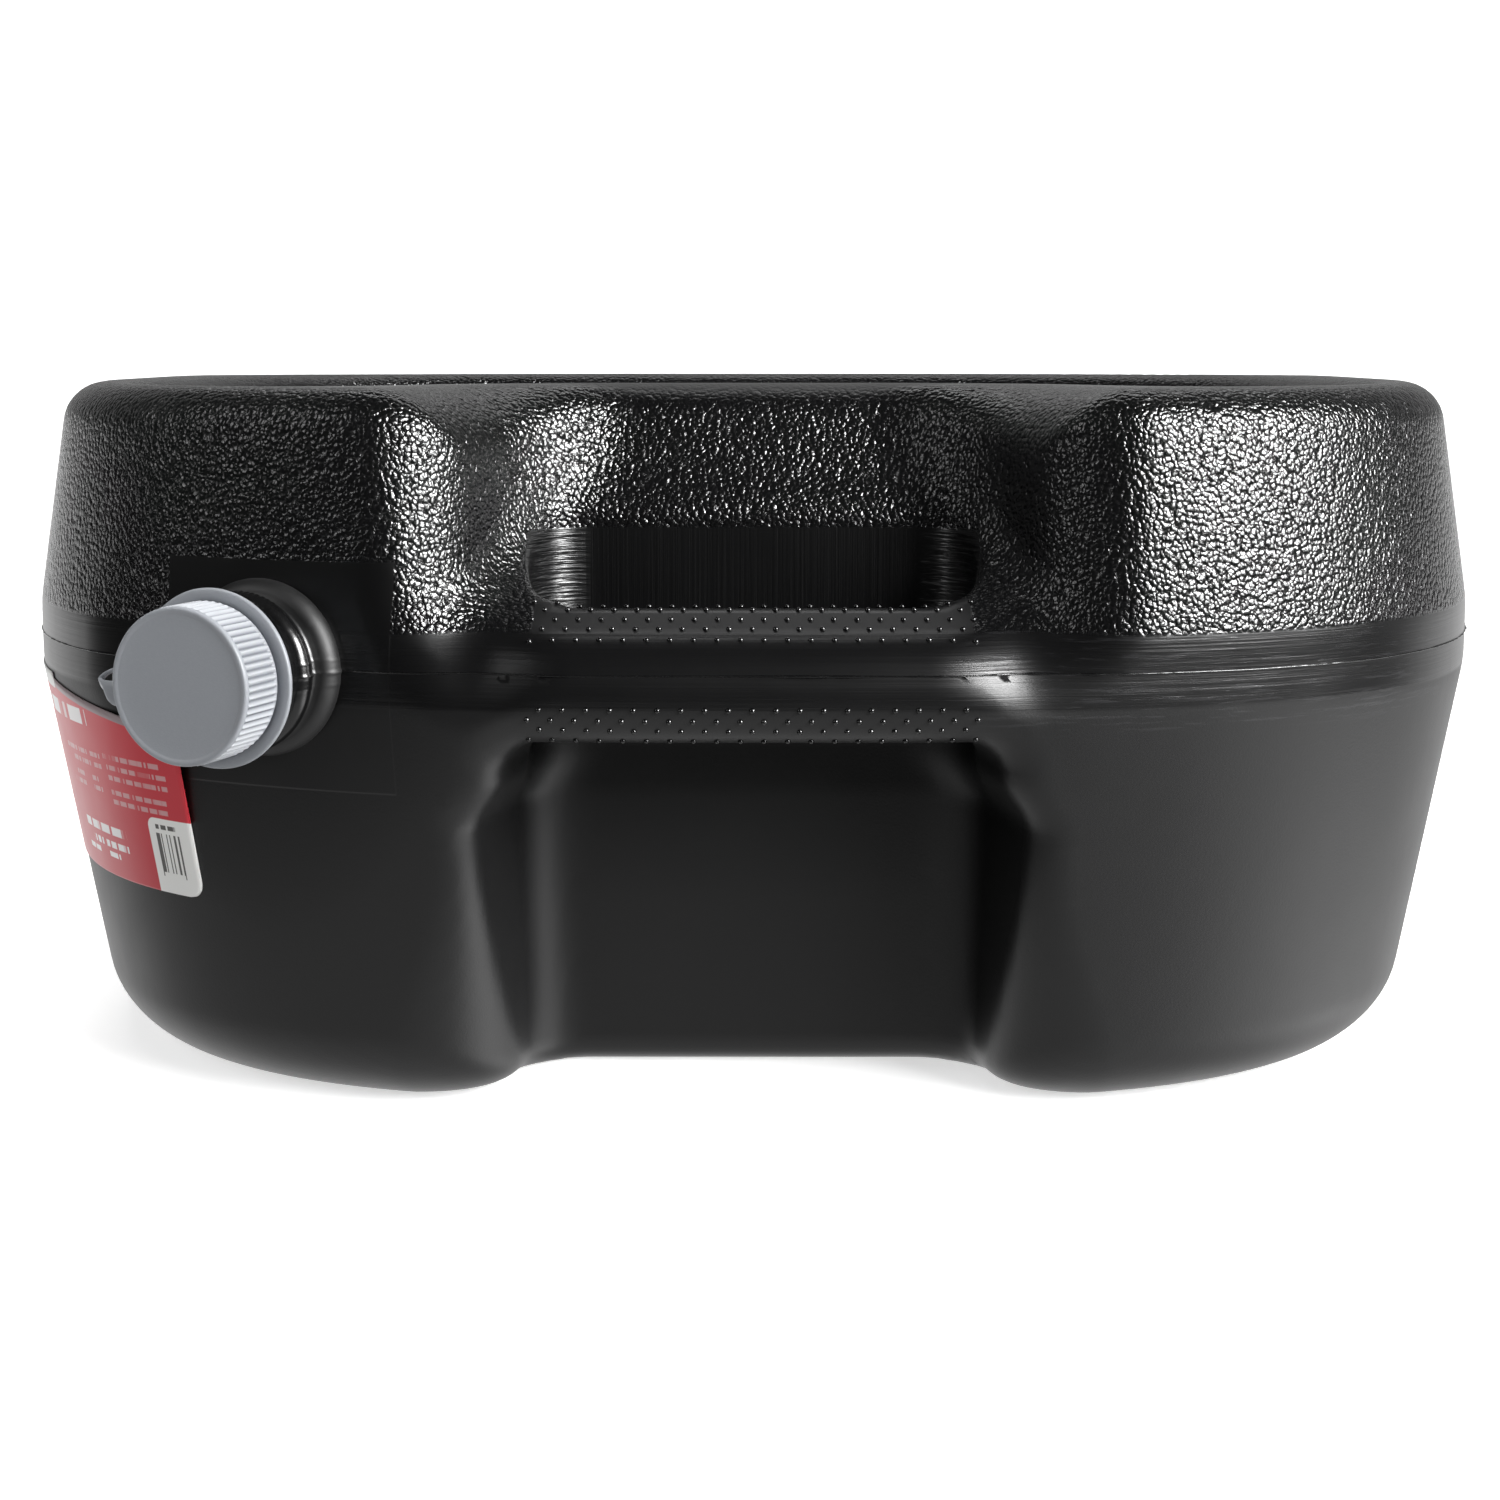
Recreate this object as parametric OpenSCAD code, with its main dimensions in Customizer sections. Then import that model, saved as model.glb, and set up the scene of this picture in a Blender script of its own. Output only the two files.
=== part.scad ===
/* [Tank] */
// Width of the tank at its parting line, side to side
tank_w = 440; // [430:1:450]
// Length of the tank at its parting line, front to back
tank_l = 390; // [380:1:400]
// Height of the tank from its base to its top rim
tank_h = 195; // [192:1:199]
// Height of the parting line between the two mould halves
seam_z = 123; // [121:1:125]
// Wall thickness of the blow moulding
wall = 2.5; // [2:0.1:3]
// Squareness of the plan outline: 2 is an ellipse, more is boxier
outline_n = 3; // [2.8:0.05:3.2]
// Draft of the lower half, in degrees
lower_draft = 9.3; // [8:0.1:10]
// Draft of the upper half, in degrees
upper_draft = 8.1; // [7:0.1:9]

/* [Hand hold] */
// Height of the underside of the carrying grip
grip_low = 104.5; // [103:0.5:106]
// Height of the top of the carrying grip
grip_high = 139.5; // [138:0.5:141]
// Depth of the grip from the front of the tank to the finger hole
grip_depth = 25; // [23:0.1:27]
// Overall length of the finger hole
hole_len = 120; // [116:0.5:124]
// Width of the finger hole, front to back
hole_w = 32; // [29:0.2:33]

/* [Spout] */
// Angle of the spout, left of straight ahead
spout_angle = 21.5; // [19:0.1:24]
// Sideways place of the spout, left of the tank's middle
spout_x = 126.5; // [125:0.5:128]
// Radius of the bore through the spout neck
spout_bore = 14.2; // [13.5:0.1:14.5]
// Outer radius of the knurled cap
cap_r = 19.8; // [19.6:0.1:20.1]
// Number of knurls round the cap
cap_knurls = 76; // [60:1:80]

/* [Catch basin] */
// Width of the flat part of the top rim
rim_flat = 6; // [4:1:9]
// Height of the basin floor at the drain port
port_z = 149; // [147:1:151]
// Radius of the threaded bore in the drain port
port_bore = 21.5; // [21.3:0.1:21.7]

/* [Hidden] */
$fn = 96;
eps = 0.01;

// Plan outline: half width and half length of the parting line
half_w = tank_w / 2;
half_l = tank_l / 2;

// The flat parting land stands a little above and below the parting line
land_low = seam_z - 8.5;
land_high = seam_z + 9;

// Distance of the spout's base behind the front of the tank
spout_set_back = 18.5;

// Rounding of the base edge, the outer rim edge and the basin lip
base_r = 23;
rim_r = 10.5;
lip_r = 8;
rim_z = tank_h - rim_r;

// Hand recess: [height, value] pairs for its back wall's distance behind the
// front of the tank, and for its half width at the back and at the front
recess_back = [[0, 61], [82, 57], [156, 57], [tank_h, 72]];
recess_in = [[0, 61], [96, 62], [105, 53], [grip_high, 53], [157, 57], [tank_h, 61]];
recess_out = [[0, 72], [96, 74], [105, 60.5], [grip_high, 60.5], [157, 79], [tank_h, 90]];
// How much of a step inwards the recess outline spreads sideways
recess_spread = 0.8;
// Plain outline kept beyond the recess before the side stations start
front_margin = 16;

// Stations round half of the outline: fractions across the front, then steps
// along the side and the back
front_fractions = [0, 0.2, 0.36, 0.48, 0.56, 0.63, 0.69, 0.75, 0.81, 0.87, 0.93];
side_steps = 25;

// Inset of the wall from the parting line's outline at a height
function wall_inset(z) =
    z < land_low ? (land_low - z) * tan(lower_draft)
    : z > land_high ? (z - land_high) * tan(upper_draft)
    : 0;

// 1 at the middle of the recess, falling smoothly to 0 at its outer edge
function recess_share(x, inner, outer) =
    let (t = min(max((abs(x) - inner) / (outer - inner), 0), 1))
    1 - t * t * (3 - 2 * t);

// Distance of the outline behind the front of the tank at x, for an inset
function outline_depth(x, inset) =
    let (q = pow(abs(x) / (half_w - inset), outline_n))
    half_l - (half_l - inset) * pow(1 - q, 1 / outline_n);

// Right half of one ring, from the front middle round to the back middle.
// The inset is measured from the parting line's outline.
function half_ring(inset, z) =
    let (
        zr = min(z, tank_h),
        step_in = inset - wall_inset(min(z, rim_z)),
        back = lookup(zr, recess_back) + step_in,
        inner = lookup(zr, recess_in) + step_in * recess_spread,
        outer = lookup(zr, recess_out) + step_in * recess_spread,
        x_side = outer + front_margin,
        p = 2 / outline_n,
        t0 = acos(pow(x_side / (half_w - inset), 1 / p))
    )
    concat(
        [for (f = front_fractions)
            let (
                x = f * x_side,
                plain = outline_depth(x, inset),
                d = plain + max(back - plain, 0) * recess_share(x, inner, outer)
            )
            [x, d - half_l, z]],
        [for (i = [0:side_steps])
            let (t = -t0 + (90 + t0) * i / side_steps)
            [
                (half_w - inset) * pow(max(cos(t), 0), p),
                (half_l - inset) * sign(t) * pow(abs(sin(t)), p),
                z
            ]]
    );

// The wall is flat round the spout: nothing stands beyond this plane, which
// lies across the spout axis, off inwards for the inner skin
pad_at = 1.5;
spout_base = [-spout_x, spout_set_back - half_l];
spout_dir = [-sin(spout_angle), -cos(spout_angle)];

function on_pad(p, off) =
    let (over = max(([p.x, p.y] - spout_base) * spout_dir - pad_at + off, 0))
    [p.x - over * spout_dir.x, p.y - over * spout_dir.y, p.z];

// A whole ring, anticlockwise from the front middle
function ring(inset, z, off = 0) =
    let (h = half_ring(inset, z), n = len(h))
    [for (p = concat(h, [for (i = [n - 2:-1:1]) [-h[i].x, h[i].y, z]])) on_pad(p, off)];

ring_size = 2 * len(half_ring(0, seam_z)) - 2;

// A ring blended towards a circle of radius r at height z1
function ring_to_circle(inset, z, r, z1, share) =
    [for (p = ring(inset, z))
        let (m = norm([p.x, p.y]))
        [
            p.x + (p.x * r / m - p.x) * share,
            p.y + (p.y * r / m - p.y) * share,
            z + (z1 - z) * share
        ]];

// Triangles that join ring i to ring j, with the outside on the left of travel
function band(i, j) =
    [for (k = [0:ring_size - 1])
        let (
            a = i * ring_size + k,
            b = i * ring_size + (k + 1) % ring_size,
            c = j * ring_size + (k + 1) % ring_size,
            d = j * ring_size + k
        )
        each [[a, b, c], [a, c, d]]];

function flatten(rings) = [for (r = rings) each r];

// Upper skin, off = 0 for the outside and the wall thickness for the inside:
// up the side, over the rim and down the basin to the drain port's hole
wall_levels_up = [seam_z, 132, 136, 139.5, 144, 148, 152, 157, 164, 171, 178];
rim_inset = wall_inset(rim_z) + rim_r;
lip_inset = rim_inset + rim_flat;
basin_wall = [lip_inset + 14, 166];
basin_edge = [lip_inset + 26, 158];
port_hole_r = port_bore + wall;

function upper_rings(off) =
    concat(
        [for (z = wall_levels_up) ring(wall_inset(z) + off, z, off)],
        [for (t = [0:18:90])
            ring(rim_inset - (rim_r - off) * cos(t), rim_z + (rim_r - off) * sin(t), off)],
        [for (t = [0:30:60])
            ring(lip_inset + (lip_r - off) * sin(t), tank_h - lip_r + (lip_r - off) * cos(t))],
        [
            ring(basin_wall[0] - off, basin_wall[1] - off * 0.5),
            ring(basin_edge[0], basin_edge[1] - off)
        ],
        [for (k = [0.33, 0.66, 1])
            ring_to_circle(basin_edge[0], basin_edge[1] - off, port_hole_r, port_z - off, k)]
    );

function reversed(list) = [for (i = [len(list) - 1:-1:0]) list[i]];

// Place of the spout: its local +Z runs out along the neck
module at_spout() {
    translate([spout_base.x, spout_base.y, seam_z])
        rotate([90, 0, -spout_angle])
            children();
}

// Hole that the neck fills in the tank wall
module spout_hole() {
    at_spout()
        translate([0, 0, -14])
            cylinder(r = neck_root_r - 0.4, h = 24);
}

module tank_upper() {
    outside = upper_rings(0);
    inside = reversed(upper_rings(wall));
    rings = concat(outside, inside);
    count = len(rings);
    color("#26272a")
        difference() {
            polyhedron(
                points = flatten(rings),
                faces = [for (i = [0:count - 1]) each reversed_faces(band(i, (i + 1) % count))],
                convexity = 12
            );
            spout_hole();
        }
}

function reversed_faces(faces) = [for (f = faces) [f[0], f[2], f[1]]];

// Lower skin: the base up to base_top, and the wall from there to the parting line
base_top = 30;
wall_levels_down = [base_top, 46, 62, 78, 90, 95, 99, 104, 109, 114.5, seam_z];
base_centre = wall_inset(base_r * (1 - sin(lower_draft))) + base_r * cos(lower_draft);

function base_rings(off) =
    concat(
        [ring(base_centre + 14, off)],
        [for (t = [90:-16.14:9.3])
            ring(base_centre - (base_r - off) * cos(t), base_r - (base_r - off) * sin(t), off)],
        [ring(wall_inset(base_top) + off, base_top, off)]
    );

function wall_rings(off) = [for (z = wall_levels_down) ring(wall_inset(z) + off, z, off)];

module tank_lower() {
    rings = concat(wall_rings(0), reversed(wall_rings(wall)));
    count = len(rings);
    color("#2b2c2e")
        difference() {
            polyhedron(
                points = flatten(rings),
                faces = [for (i = [0:count - 1]) each reversed_faces(band(i, (i + 1) % count))],
                convexity = 12
            );
            spout_hole();
        }
}

module tank_base() {
    rings = concat(base_rings(0), reversed(base_rings(wall)));
    count = len(rings);
    total = count * ring_size;
    start = total - ring_size;
    color("#2b2c2e")
        polyhedron(
            points = concat(flatten(rings), [[0, 0, 0], [0, 0, wall]]),
            faces = concat(
                [for (k = [0:ring_size - 1])
                    [total, k, (k + 1) % ring_size]],
                [for (k = [0:ring_size - 1])
                    [total + 1, start + (k + 1) % ring_size, start + k]],
                [for (i = [0:count - 2]) each reversed_faces(band(i, i + 1))]
            ),
            convexity = 12
        );
}

// Carrying grip: a hollow bar across the front of the finger hole, with its
// ends let into the sides of the hand recess
grip_stations = [0, 15, 30, 44, 49, 53, 56.5, 59, 60, 63];
grip_corner = 5;
grip_set_back = 0.5;
hole_r = hole_w / 2;
hole_straight = hole_len / 2 - hole_r;

// Front edge of the finger hole behind the front of the tank at x
function hole_front(x) =
    let (u = min(max(abs(x) - hole_straight, 0), hole_r))
    grip_depth + hole_r - sqrt(hole_r * hole_r - u * u);

// Rounded section of the grip at x, off inwards from its surface
function grip_section(x, off) =
    let (
        d0 = outline_depth(x, 0) + grip_set_back + off,
        d1 = hole_front(x) - off,
        z0 = grip_low + off,
        z1 = grip_high - off,
        r = grip_corner - off
    )
    [for (c = [[d1 - r, z1 - r, 0], [d0 + r, z1 - r, 90], [d0 + r, z0 + r, 180], [d1 - r, z0 + r, 270]])
        for (t = [0:30:90])
            [x, c[0] + r * cos(c[2] + t) - half_l, c[1] + r * sin(c[2] + t)]];

module carry_grip() {
    half = grip_stations;
    xs = concat([for (i = [len(half) - 1:-1:1]) -half[i]], half);
    rings = concat(
        [for (x = xs) grip_section(x, 0)],
        [for (i = [len(xs) - 1:-1:0]) grip_section(xs[i], wall)]
    );
    n = len(rings[0]);
    count = len(rings);
    color("#222326")
        polyhedron(
            points = flatten(rings),
            faces = [for (i = [0:count - 1])
                for (k = [0:n - 1])
                    let (
                        j = (i + 1) % count,
                        l = (k + 1) % n
                    )
                    each [
                        [i * n + k, j * n + l, i * n + l],
                        [i * n + k, j * n + k, j * n + l]
                    ]],
            convexity = 8
        );
}

// Spout neck, measured along its own axis from the middle of the base bead
neck_root_r = 17.6;
neck_thread_r = 16.4;
neck_start = -10;
thread_start = 15;
neck_lip = 33.75;
base_bead = [19.4, 1.8, 3.8];
upper_bead = [17.6, 11, 3.2];

module bead(spec) {
    rotate_extrude()
        translate([spec[0], spec[1]])
            circle(r = spec[2], $fn = 32);
}

module spout_neck() {
    color("#1b1b1d")
        at_spout() {
            rotate_extrude()
                polygon([
                    [spout_bore, neck_start], [neck_root_r, neck_start],
                    [neck_root_r, thread_start], [neck_thread_r, thread_start],
                    [neck_thread_r, neck_lip - 0.8], [neck_thread_r - 0.8, neck_lip],
                    [spout_bore, neck_lip]
                ]);
            bead(base_bead);
            bead(upper_bead);
        }
}

// Tether: a ring on the neck, a folded strap, and a ring that the cap turns in
swivel_start = 21.6;
swivel_thick = 1.4;
swivel_r = 22.9;
sleeve_r = 18.6;
neck_ring_start = 17;
neck_ring_thick = 1.5;
neck_ring_r = 19.4;
strap_w = 12;
strap_t = 1.2;
strap_reach = 33.5;
strap_turn = 8;

module washer(outer, inner, start, thick) {
    translate([0, 0, start])
        difference() {
            cylinder(r = outer, h = thick);
            translate([0, 0, -1])
                cylinder(r = inner, h = thick + 2);
        }
}

module tether_neck_ring() {
    color("#c4c8cc")
        at_spout()
            washer(neck_ring_r, neck_thread_r, neck_ring_start, neck_ring_thick);
}

module tether_swivel_ring() {
    color("#c4c8cc")
        at_spout()
            washer(swivel_r, sleeve_r + 0.1, swivel_start, swivel_thick);
}

// The strap's fold lies in the plane of the neck, out to its left side
module tether_strap() {
    top = swivel_start + swivel_thick - 0.1;
    low = neck_ring_start + 0.15;
    mid = (top + low) / 2;
    bend = (top - low) / 2;
    color("#c4c8cc")
        at_spout()
            rotate([0, 0, strap_turn])
                rotate([90, 0, 0])
                    translate([0, 0, -strap_w / 2])
                        linear_extrude(strap_w) {
                            difference() {
                                translate([-strap_reach, mid])
                                    circle(r = bend);
                                translate([-strap_reach, mid])
                                    circle(r = bend - strap_t);
                                translate([-strap_reach, mid - bend - 1])
                                    square([2 * bend, 2 * bend + 2]);
                            }
                            translate([-strap_reach - eps, top - strap_t])
                                square([strap_reach - swivel_r + 0.6, strap_t]);
                            translate([-strap_reach - eps, low])
                                square([strap_reach - neck_ring_r - 0.3, strap_t]);
                        }
}

// Screw cap: knurled skirt, closed face, and a sleeve that holds the swivel ring
skirt_start = swivel_start + swivel_thick + 0.2;
cap_top = 37;
face_thick = 2;
cap_inner_r = 17.5;
sleeve_start = 20.8;
knurl_depth = 0.55;
liner_thick = 1.2;

module knurled_outline() {
    step = 360 / cap_knurls;
    polygon([for (i = [0:cap_knurls - 1])
        for (part = [[0, 0], [0.3, 0], [0.5, 1], [0.8, 1]])
            let (
                r = cap_r - part[1] * knurl_depth,
                t = (i + part[0]) * step
            )
            [r * cos(t), r * sin(t)]]);
}

module spout_cap() {
    color("#b3b7bc")
        at_spout()
            difference() {
                union() {
                    translate([0, 0, skirt_start])
                        linear_extrude(cap_top - skirt_start - 1)
                            knurled_outline();
                    translate([0, 0, sleeve_start])
                        cylinder(r = sleeve_r, h = skirt_start - sleeve_start + 1);
                    translate([0, 0, cap_top - 1 - eps])
                        cylinder(r = cap_r - knurl_depth, h = 1 + eps);
                }
                translate([0, 0, sleeve_start - 1])
                    cylinder(r = cap_inner_r, h = cap_top - face_thick - sleeve_start + 1);
            }
}

module cap_liner() {
    color("#e9e6dc")
        at_spout()
            translate([0, 0, cap_top - face_thick - liner_thick])
                cylinder(r = cap_inner_r - 0.1, h = liner_thick);
}

// Drain port: the threaded collar in the middle of the basin floor
port_top = port_z + 0.3;
port_bottom = 130;

module drain_port() {
    color("#1f2022")
        rotate_extrude()
            polygon([
                [port_bore, port_bottom], [port_hole_r + 0.4, port_bottom],
                [port_hole_r + 0.4, port_top], [port_bore, port_top]
            ]);
}

// Strainer: a perforated basket held in the bottom of the port
strainer_rim_z = 134;
basket_r = 19;
basket_bottom = 117;
basket_wall = 1.6;
hole_pitch = 5.6;
strain_hole_r = 1.7;

module strainer() {
    color("#8f9499")
        difference() {
            union() {
                translate([0, 0, strainer_rim_z - 3])
                    cylinder(r = port_bore + 0.1, h = 3);
                translate([0, 0, basket_bottom])
                    cylinder(r = basket_r, h = strainer_rim_z - basket_bottom);
            }
            translate([0, 0, basket_bottom + basket_wall])
                cylinder(r = basket_r - basket_wall, h = strainer_rim_z - basket_bottom);
            for (row = [-2:2])
                for (i = [-2:2])
                    let (
                        x = (i + (row % 2 == 0 ? 0 : 0.5)) * hole_pitch,
                        y = row * hole_pitch * sqrt(3) / 2
                    )
                    if (norm([x, y]) < basket_r - basket_wall - strain_hole_r - 1)
                        translate([x, y, basket_bottom - 1])
                            cylinder(r = strain_hole_r, h = basket_wall + 2, $fn = 24);
        }
}

// Drain plug: a hollow threaded stem under a round head with a finger bar
seal_r = 23;
seal_thick_r = 1.5;
seal_z = port_top + seal_thick_r + 0.02;
head_r = 28;
head_low = port_top + 1.6;
head_high = head_low + 6;
stem_r = port_bore - 0.5;
stem_bottom = 135.5;
finger_bar = [46, 9, 13];

module drain_plug() {
    color("#b3b7bc")
        difference() {
            union() {
                translate([0, 0, head_low])
                    cylinder(r = head_r, h = head_high - head_low);
                translate([0, 0, stem_bottom])
                    cylinder(r = stem_r, h = head_low - stem_bottom + 1);
                translate([-finger_bar[0] / 2, -finger_bar[1] / 2, head_high - 1])
                    cube([finger_bar[0], finger_bar[1], finger_bar[2] + 1]);
            }
            translate([0, 0, stem_bottom - 1])
                cylinder(r = stem_r - wall, h = head_low - stem_bottom + 2);
            rotate_extrude()
                translate([seal_r - seal_thick_r - 0.2, head_low - 1])
                    square([2 * seal_thick_r + 0.4, seal_z + seal_thick_r + 0.1 - head_low + 1]);
        }
}

module plug_o_ring() {
    color("#151515")
        translate([0, 0, seal_z])
            rotate_extrude()
                translate([seal_r, 0])
                    circle(r = seal_thick_r, $fn = 32);
}

// Side label: a thin film on the left wall, taller beside the tank than in front
label_thick = 0.3;
label_gap = 0.3;
label_bottom = 57;
label_wing_top = 105;
label_panel_top = 113;
label_back = 150;
label_step = 210;
label_front = 234;

// A point on the lower wall at outline angle t and height z, off outwards
function wall_point(t, z, off) =
    let (
        p = 2 / outline_n,
        in = wall_inset(z) - off
    )
    [
        (half_w - in) * sign(cos(t)) * pow(abs(cos(t)), p),
        (half_l - in) * sign(sin(t)) * pow(abs(sin(t)), p),
        z
    ];

module label_patch(t0, t1, z0, z1) {
    steps = 24;
    ts = [for (i = [0:steps]) t0 + (t1 - t0) * i / steps];
    off = [label_gap, label_gap + label_thick];
    rings = [for (t = ts)
        [wall_point(t, z0, off[0]), wall_point(t, z0, off[1]),
         wall_point(t, z1, off[1]), wall_point(t, z1, off[0])]];
    polyhedron(
        points = flatten(rings),
        faces = concat(
            [[0, 1, 2, 3], [for (k = [3:-1:0]) steps * 4 + k]],
            [for (i = [0:steps - 1])
                for (k = [0:3])
                    let (l = (k + 1) % 4)
                    each [
                        [i * 4 + k, i * 4 + 4 + k, i * 4 + 4 + l],
                        [i * 4 + k, i * 4 + 4 + l, i * 4 + l]
                    ]]
        )
    );
}

module side_label() {
    color("#c8242f") {
        label_patch(label_back, label_step, label_bottom, label_panel_top);
        label_patch(label_step, label_front, label_bottom, label_wing_top);
    }
}

tank_upper();
tank_lower();
tank_base();
carry_grip();
spout_neck();
tether_neck_ring();
tether_strap();
tether_swivel_ring();
spout_cap();
cap_liner();
drain_port();
strainer();
drain_plug();
plug_o_ring();
side_label();
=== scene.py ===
import math

import bpy
import numpy as np
from mathutils import Euler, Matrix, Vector


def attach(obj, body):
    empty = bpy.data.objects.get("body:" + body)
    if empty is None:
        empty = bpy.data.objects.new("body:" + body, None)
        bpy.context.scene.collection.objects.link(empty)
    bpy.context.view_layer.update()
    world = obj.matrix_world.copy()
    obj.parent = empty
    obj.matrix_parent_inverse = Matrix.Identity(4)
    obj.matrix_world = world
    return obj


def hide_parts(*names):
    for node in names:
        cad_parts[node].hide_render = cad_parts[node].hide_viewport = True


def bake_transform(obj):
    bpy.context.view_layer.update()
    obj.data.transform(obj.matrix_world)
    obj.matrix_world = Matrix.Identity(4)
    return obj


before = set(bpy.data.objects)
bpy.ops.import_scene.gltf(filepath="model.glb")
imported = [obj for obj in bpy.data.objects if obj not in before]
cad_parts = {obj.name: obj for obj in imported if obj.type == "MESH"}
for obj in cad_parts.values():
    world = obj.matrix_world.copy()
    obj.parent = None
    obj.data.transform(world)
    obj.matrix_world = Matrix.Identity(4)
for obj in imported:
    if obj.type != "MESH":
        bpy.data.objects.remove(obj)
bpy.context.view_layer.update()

# ------------------------------------------------------------------ Studio
# The room that the container is shown in: one camera a little above the
# parting line, a pale paper sweep under and behind it, and soft lights, with
# the largest at the right.
camera_data = bpy.data.cameras.new("camera")
camera_data.lens = 51.6
camera_data.sensor_width = 36.0
camera_data.shift_y = -0.1133
camera = bpy.data.objects.new("camera", camera_data)
camera.location = (0.0012, -0.7286, 0.2069)
camera.rotation_euler = Euler((math.radians(90 - 6.34), 0, math.radians(0.19)))
bpy.context.collection.objects.link(camera)
bpy.context.scene.camera = camera
bpy.context.scene.view_settings.view_transform = "Standard"


def soft_light(name, place, target, size, watts, shine=True, fill=True):
    """A rectangular area light at place, aimed at target; without shine it isn't mirrored, and
    without fill it is only mirrored."""
    data = bpy.data.lights.new(name, "AREA")
    data.shape = "RECTANGLE"
    data.size, data.size_y = size
    data.energy = watts
    lamp = bpy.data.objects.new(name, data)
    lamp.location = place
    lamp.rotation_euler = (Vector(target) - Vector(place)).to_track_quat("-Z", "Y").to_euler()
    lamp.visible_glossy = shine
    lamp.visible_diffuse = fill
    bpy.context.collection.objects.link(lamp)


soft_light("softbox_right", (0.98, -0.80, 0.60), (0.06, -0.15, 0.15), (0.80, 0.70), 33)
soft_light("strip_left", (-1.1, -0.7, 0.85), (-0.1, -0.1, 0.16), (0.25, 0.8), 4)
soft_light("softbox_top", (0.1, 0.9, 1.3), (0.0, 0.0, 0.15), (1.4, 0.5), 4)
soft_light("glint_right", (0.98, -0.80, 0.74), (0.06, -0.15, 0.15), (0.50, 0.50), 38, fill=False)
soft_light("fill_left", (-1.3, -0.25, 0.35), (-0.2, -0.05, 0.1), (0.5, 0.5), 3.6, shine=False)
soft_light("fill_top", (0.1, 0.5, 2.2), (0.0, 0.0, 0.0), (2.0, 2.0), 54, shine=False)


class Wire:
    """A shader value: arithmetic on it adds the Math nodes that work it out."""

    def __init__(self, nodes, socket):
        self.nodes = nodes
        self.socket = socket

    def math(self, operation, *others):
        values = dict(enumerate((self, *others)))
        return self.nodes.node("ShaderNodeMath", {"operation": operation}, values)

    def __add__(self, other):
        return self.math("ADD", other)

    def __sub__(self, other):
        return self.math("SUBTRACT", other)

    def __mul__(self, other):
        return self.math("MULTIPLY", other)

    def __rsub__(self, other):
        return self.math("MULTIPLY_ADD", -1.0, other)

    def __abs__(self):
        return self.math("ABSOLUTE")

    __radd__ = __add__
    __rmul__ = __mul__

    def above(self, limit, soft=0.5):
        """0 below the limit and 1 above it, smooth over the distance soft."""
        settings = {"interpolation_type": "SMOOTHSTEP"}
        values = {"Value": self, "From Min": limit - soft / 2, "From Max": limit + soft / 2}
        return self.nodes.node("ShaderNodeMapRange", settings, values)

    def within(self, low, high, soft=0.5):
        """1 between low and high, and 0 outside them."""
        return self.above(low, soft) * (1 - self.above(high, soft))


class Nodes:
    """A node tree, with one method that makes any node in it."""

    def __init__(self, tree):
        self.tree = tree

    def node(self, kind, settings=None, values=None, output=0):
        """One node: its settings, then the values or wires of its sockets."""
        made = self.tree.nodes.new(kind)
        for key, value in (settings or {}).items():
            setattr(made, key, value)
        for socket, value in (values or {}).items():
            if isinstance(value, Wire):
                self.tree.links.new(value.socket, made.inputs[socket])
            else:
                made.inputs[socket].default_value = value
        return Wire(self, made.outputs[output])

    def axes(self, vector):
        """The x, y and z of a vector."""
        return [self.node("ShaderNodeSeparateXYZ", None, {0: vector}, i) for i in range(3)]

    def stretch(self, vector, scale):
        """The vector with each axis multiplied by its own scale."""
        return self.node("ShaderNodeVectorMath", {"operation": "MULTIPLY"}, {0: vector, 1: scale})

    def noise(self, vector, scale, detail=2.0, rough=0.5):
        """Cloudy noise from 0 to 1, with scale clouds in a unit of the vector."""
        values = {"Vector": vector, "Scale": scale, "Detail": detail, "Roughness": rough}
        return self.node("ShaderNodeTexNoise", None, values)

    def mix(self, share, first, second):
        """A colour between two colours."""
        return self.node("ShaderNodeMix", {"data_type": "RGBA"}, {0: share, 6: first, 7: second}, 2)


# The room's own light is dim, with a pale part behind the object, brighter bands low behind it
# and beneath it, and the brightest patch low at the right. The camera itself sees plain white.
world = bpy.data.worlds.new("room")
world.use_nodes = True
bpy.context.scene.world = world
room = Nodes(world.node_tree)
to_right, to_back, to_top = room.axes(room.node("ShaderNodeTexCoord", output=0))
behind = to_back.above(0.6, 0.8) * 0.38
below = (1 - to_top.above(-0.42, 0.3)) * (to_right.above(0.8, 0.5) * 5.0 + 0.7)
low_behind = to_back.above(0.25, 0.5) * (1 - to_top.above(0.02, 0.12)) * 1.2
seen = room.node("ShaderNodeLightPath", output=0)
glow = behind.math("MAXIMUM", below).math("MAXIMUM", low_behind) + 0.03
strength = glow + seen * (1 - glow)
room.tree.links.new(strength.socket, room.tree.nodes["Background"].inputs["Strength"])
room.tree.nodes["Background"].inputs["Color"].default_value = (1, 1, 1, 1)


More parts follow.
